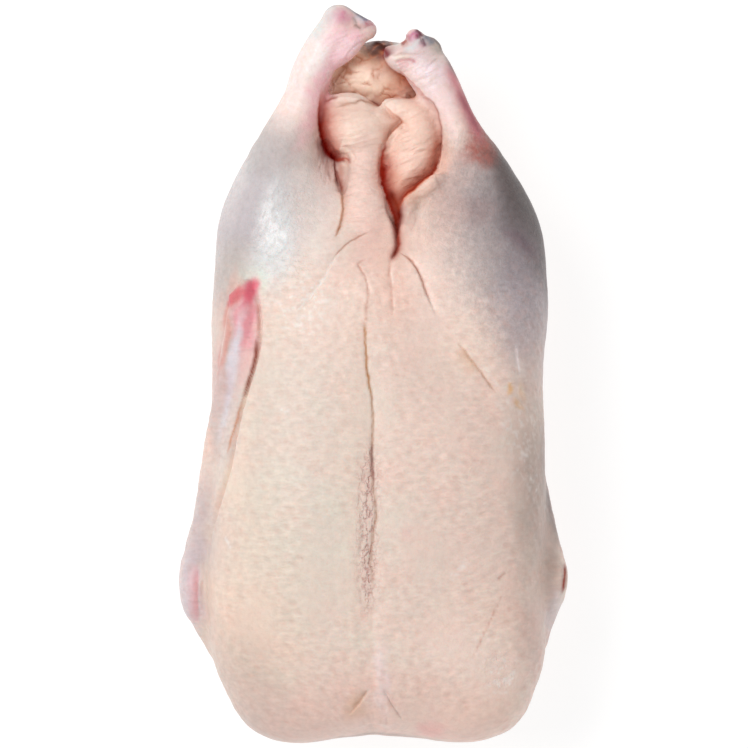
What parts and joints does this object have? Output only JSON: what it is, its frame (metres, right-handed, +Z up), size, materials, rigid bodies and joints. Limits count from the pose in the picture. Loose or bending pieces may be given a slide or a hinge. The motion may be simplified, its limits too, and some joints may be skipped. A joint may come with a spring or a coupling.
{
  "type": "whole raw duck",
  "caption": "Whole raw plucked duck lying on its back, breast up, with legs folded back along the body and hocks drawn together over the tail.",
  "frame": {"origin": "centre of the outline seen from above, at the level the bird rests on", "axes": "+Y along the body from the neck end to the hocks, +X across it to the picture's right, +Z up out of the breast"},
  "size_m": [0.2008, 0.379, 0.1154],
  "materials": {
    "duck_skin": "moist raw skin, satin with wet glints"
  },
  "bodies": {
    "root": {"duck": "duck_skin"}
  },
  "joints": []
}
